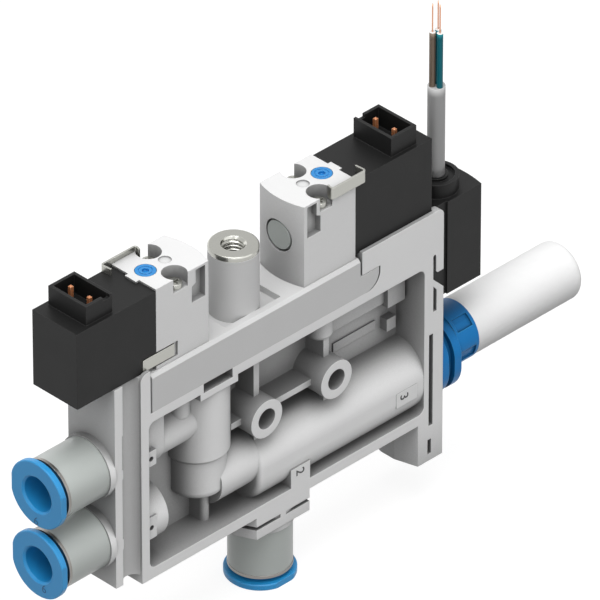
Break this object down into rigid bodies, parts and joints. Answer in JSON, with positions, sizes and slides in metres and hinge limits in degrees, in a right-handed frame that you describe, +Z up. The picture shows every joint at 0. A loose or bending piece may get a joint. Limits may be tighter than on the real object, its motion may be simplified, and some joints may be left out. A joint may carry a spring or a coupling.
{
  "type": "vacuum ejector",
  "caption": "Slim vacuum ejector: moulded housing with nozzle chamber, solenoid valves on a manifold bar, push in fittings, silencer and pressure sensor with a short lead.",
  "frame": {"origin": "midway between the two mounting holes, on the middle plane of the housing", "axes": "+X from the fittings to the silencer, +Z up towards the valves, -Y the front"},
  "size_m": [0.1185, 0.0116, 0.0907],
  "materials": {
    "housing": "satin",
    "bar": "satin",
    "valve_white": "satin",
    "black": "satin",
    "blue": "satin",
    "body_grey": "satin",
    "steel": "brushed",
    "brass": "polished",
    "rubber": "matte",
    "porous": "rough",
    "jacket": "satin",
    "core": "satin"
  },
  "bodies": {
    "ejector": {"housing": "housing", "valve_manifold": "bar", "threaded_bush": "steel", "supply_valve_body": "valve_white", "supply_valve_seal": "rubber", "supply_end_plug": "steel", "supply_spool": "steel", "supply_solenoid": "black", "supply_contact_pins": "brass", "supply_valve_screws": "steel", "supply_lower_clip": "steel", "supply_upper_clip": "steel", "pulse_valve_body": "valve_white", "pulse_valve_seal": "rubber", "pulse_end_plug": "steel", "pulse_spool": "steel", "pulse_solenoid": "black", "pulse_contact_pins": "brass", "pulse_valve_screws": "steel", "pulse_lower_clip": "steel", "pulse_upper_clip": "steel", "pulse_fitting": "body_grey", "pulse_tube_seal": "rubber", "pulse_collet": "steel", "pulse_end_ring": "steel", "supply_fitting": "body_grey", "supply_tube_seal": "rubber", "supply_collet": "steel", "supply_end_ring": "steel", "vacuum_fitting": "body_grey", "vacuum_tube_seal": "rubber", "vacuum_collet": "steel", "vacuum_end_ring": "steel", "jet_nozzle": "brass", "receiver_nozzle": "brass", "vacuum_filter": "porous", "check_valve_disc": "rubber", "silencer_adapter": "blue", "silencer": "porous", "pressure_sensor": "black", "sensor_cable": "jacket", "cable_cores": "core", "cable_strands": "brass"},
    "supply_ring": {"supply_release_ring": "blue"},
    "pulse_ring": {"pulse_release_ring": "blue"},
    "vacuum_ring": {"vacuum_release_ring": "blue"},
    "supply_button": {"supply_override": "blue"},
    "pulse_button": {"pulse_override": "blue"}
  },
  "joints": [
    {"name": "supply_ring_push", "type": "slide", "parent": "ejector", "child": "supply_ring", "axis": [1, 0, 0], "range_m": [0, 0.0007], "stiffness_N_per_m": 800},
    {"name": "pulse_ring_push", "type": "slide", "parent": "ejector", "child": "pulse_ring", "axis": [1, 0, 0], "range_m": [0, 0.0007], "stiffness_N_per_m": 800},
    {"name": "vacuum_ring_push", "type": "slide", "parent": "ejector", "child": "vacuum_ring", "axis": [0, 0, 1], "range_m": [0, 0.0007], "stiffness_N_per_m": 800},
    {"name": "supply_override_push", "type": "slide", "parent": "ejector", "child": "supply_button", "axis": [0, 0, -1], "range_m": [0, 0.0008], "stiffness_N_per_m": 800},
    {"name": "pulse_override_push", "type": "slide", "parent": "ejector", "child": "pulse_button", "axis": [0, 0, -1], "range_m": [0, 0.0008], "stiffness_N_per_m": 800}
  ]
}
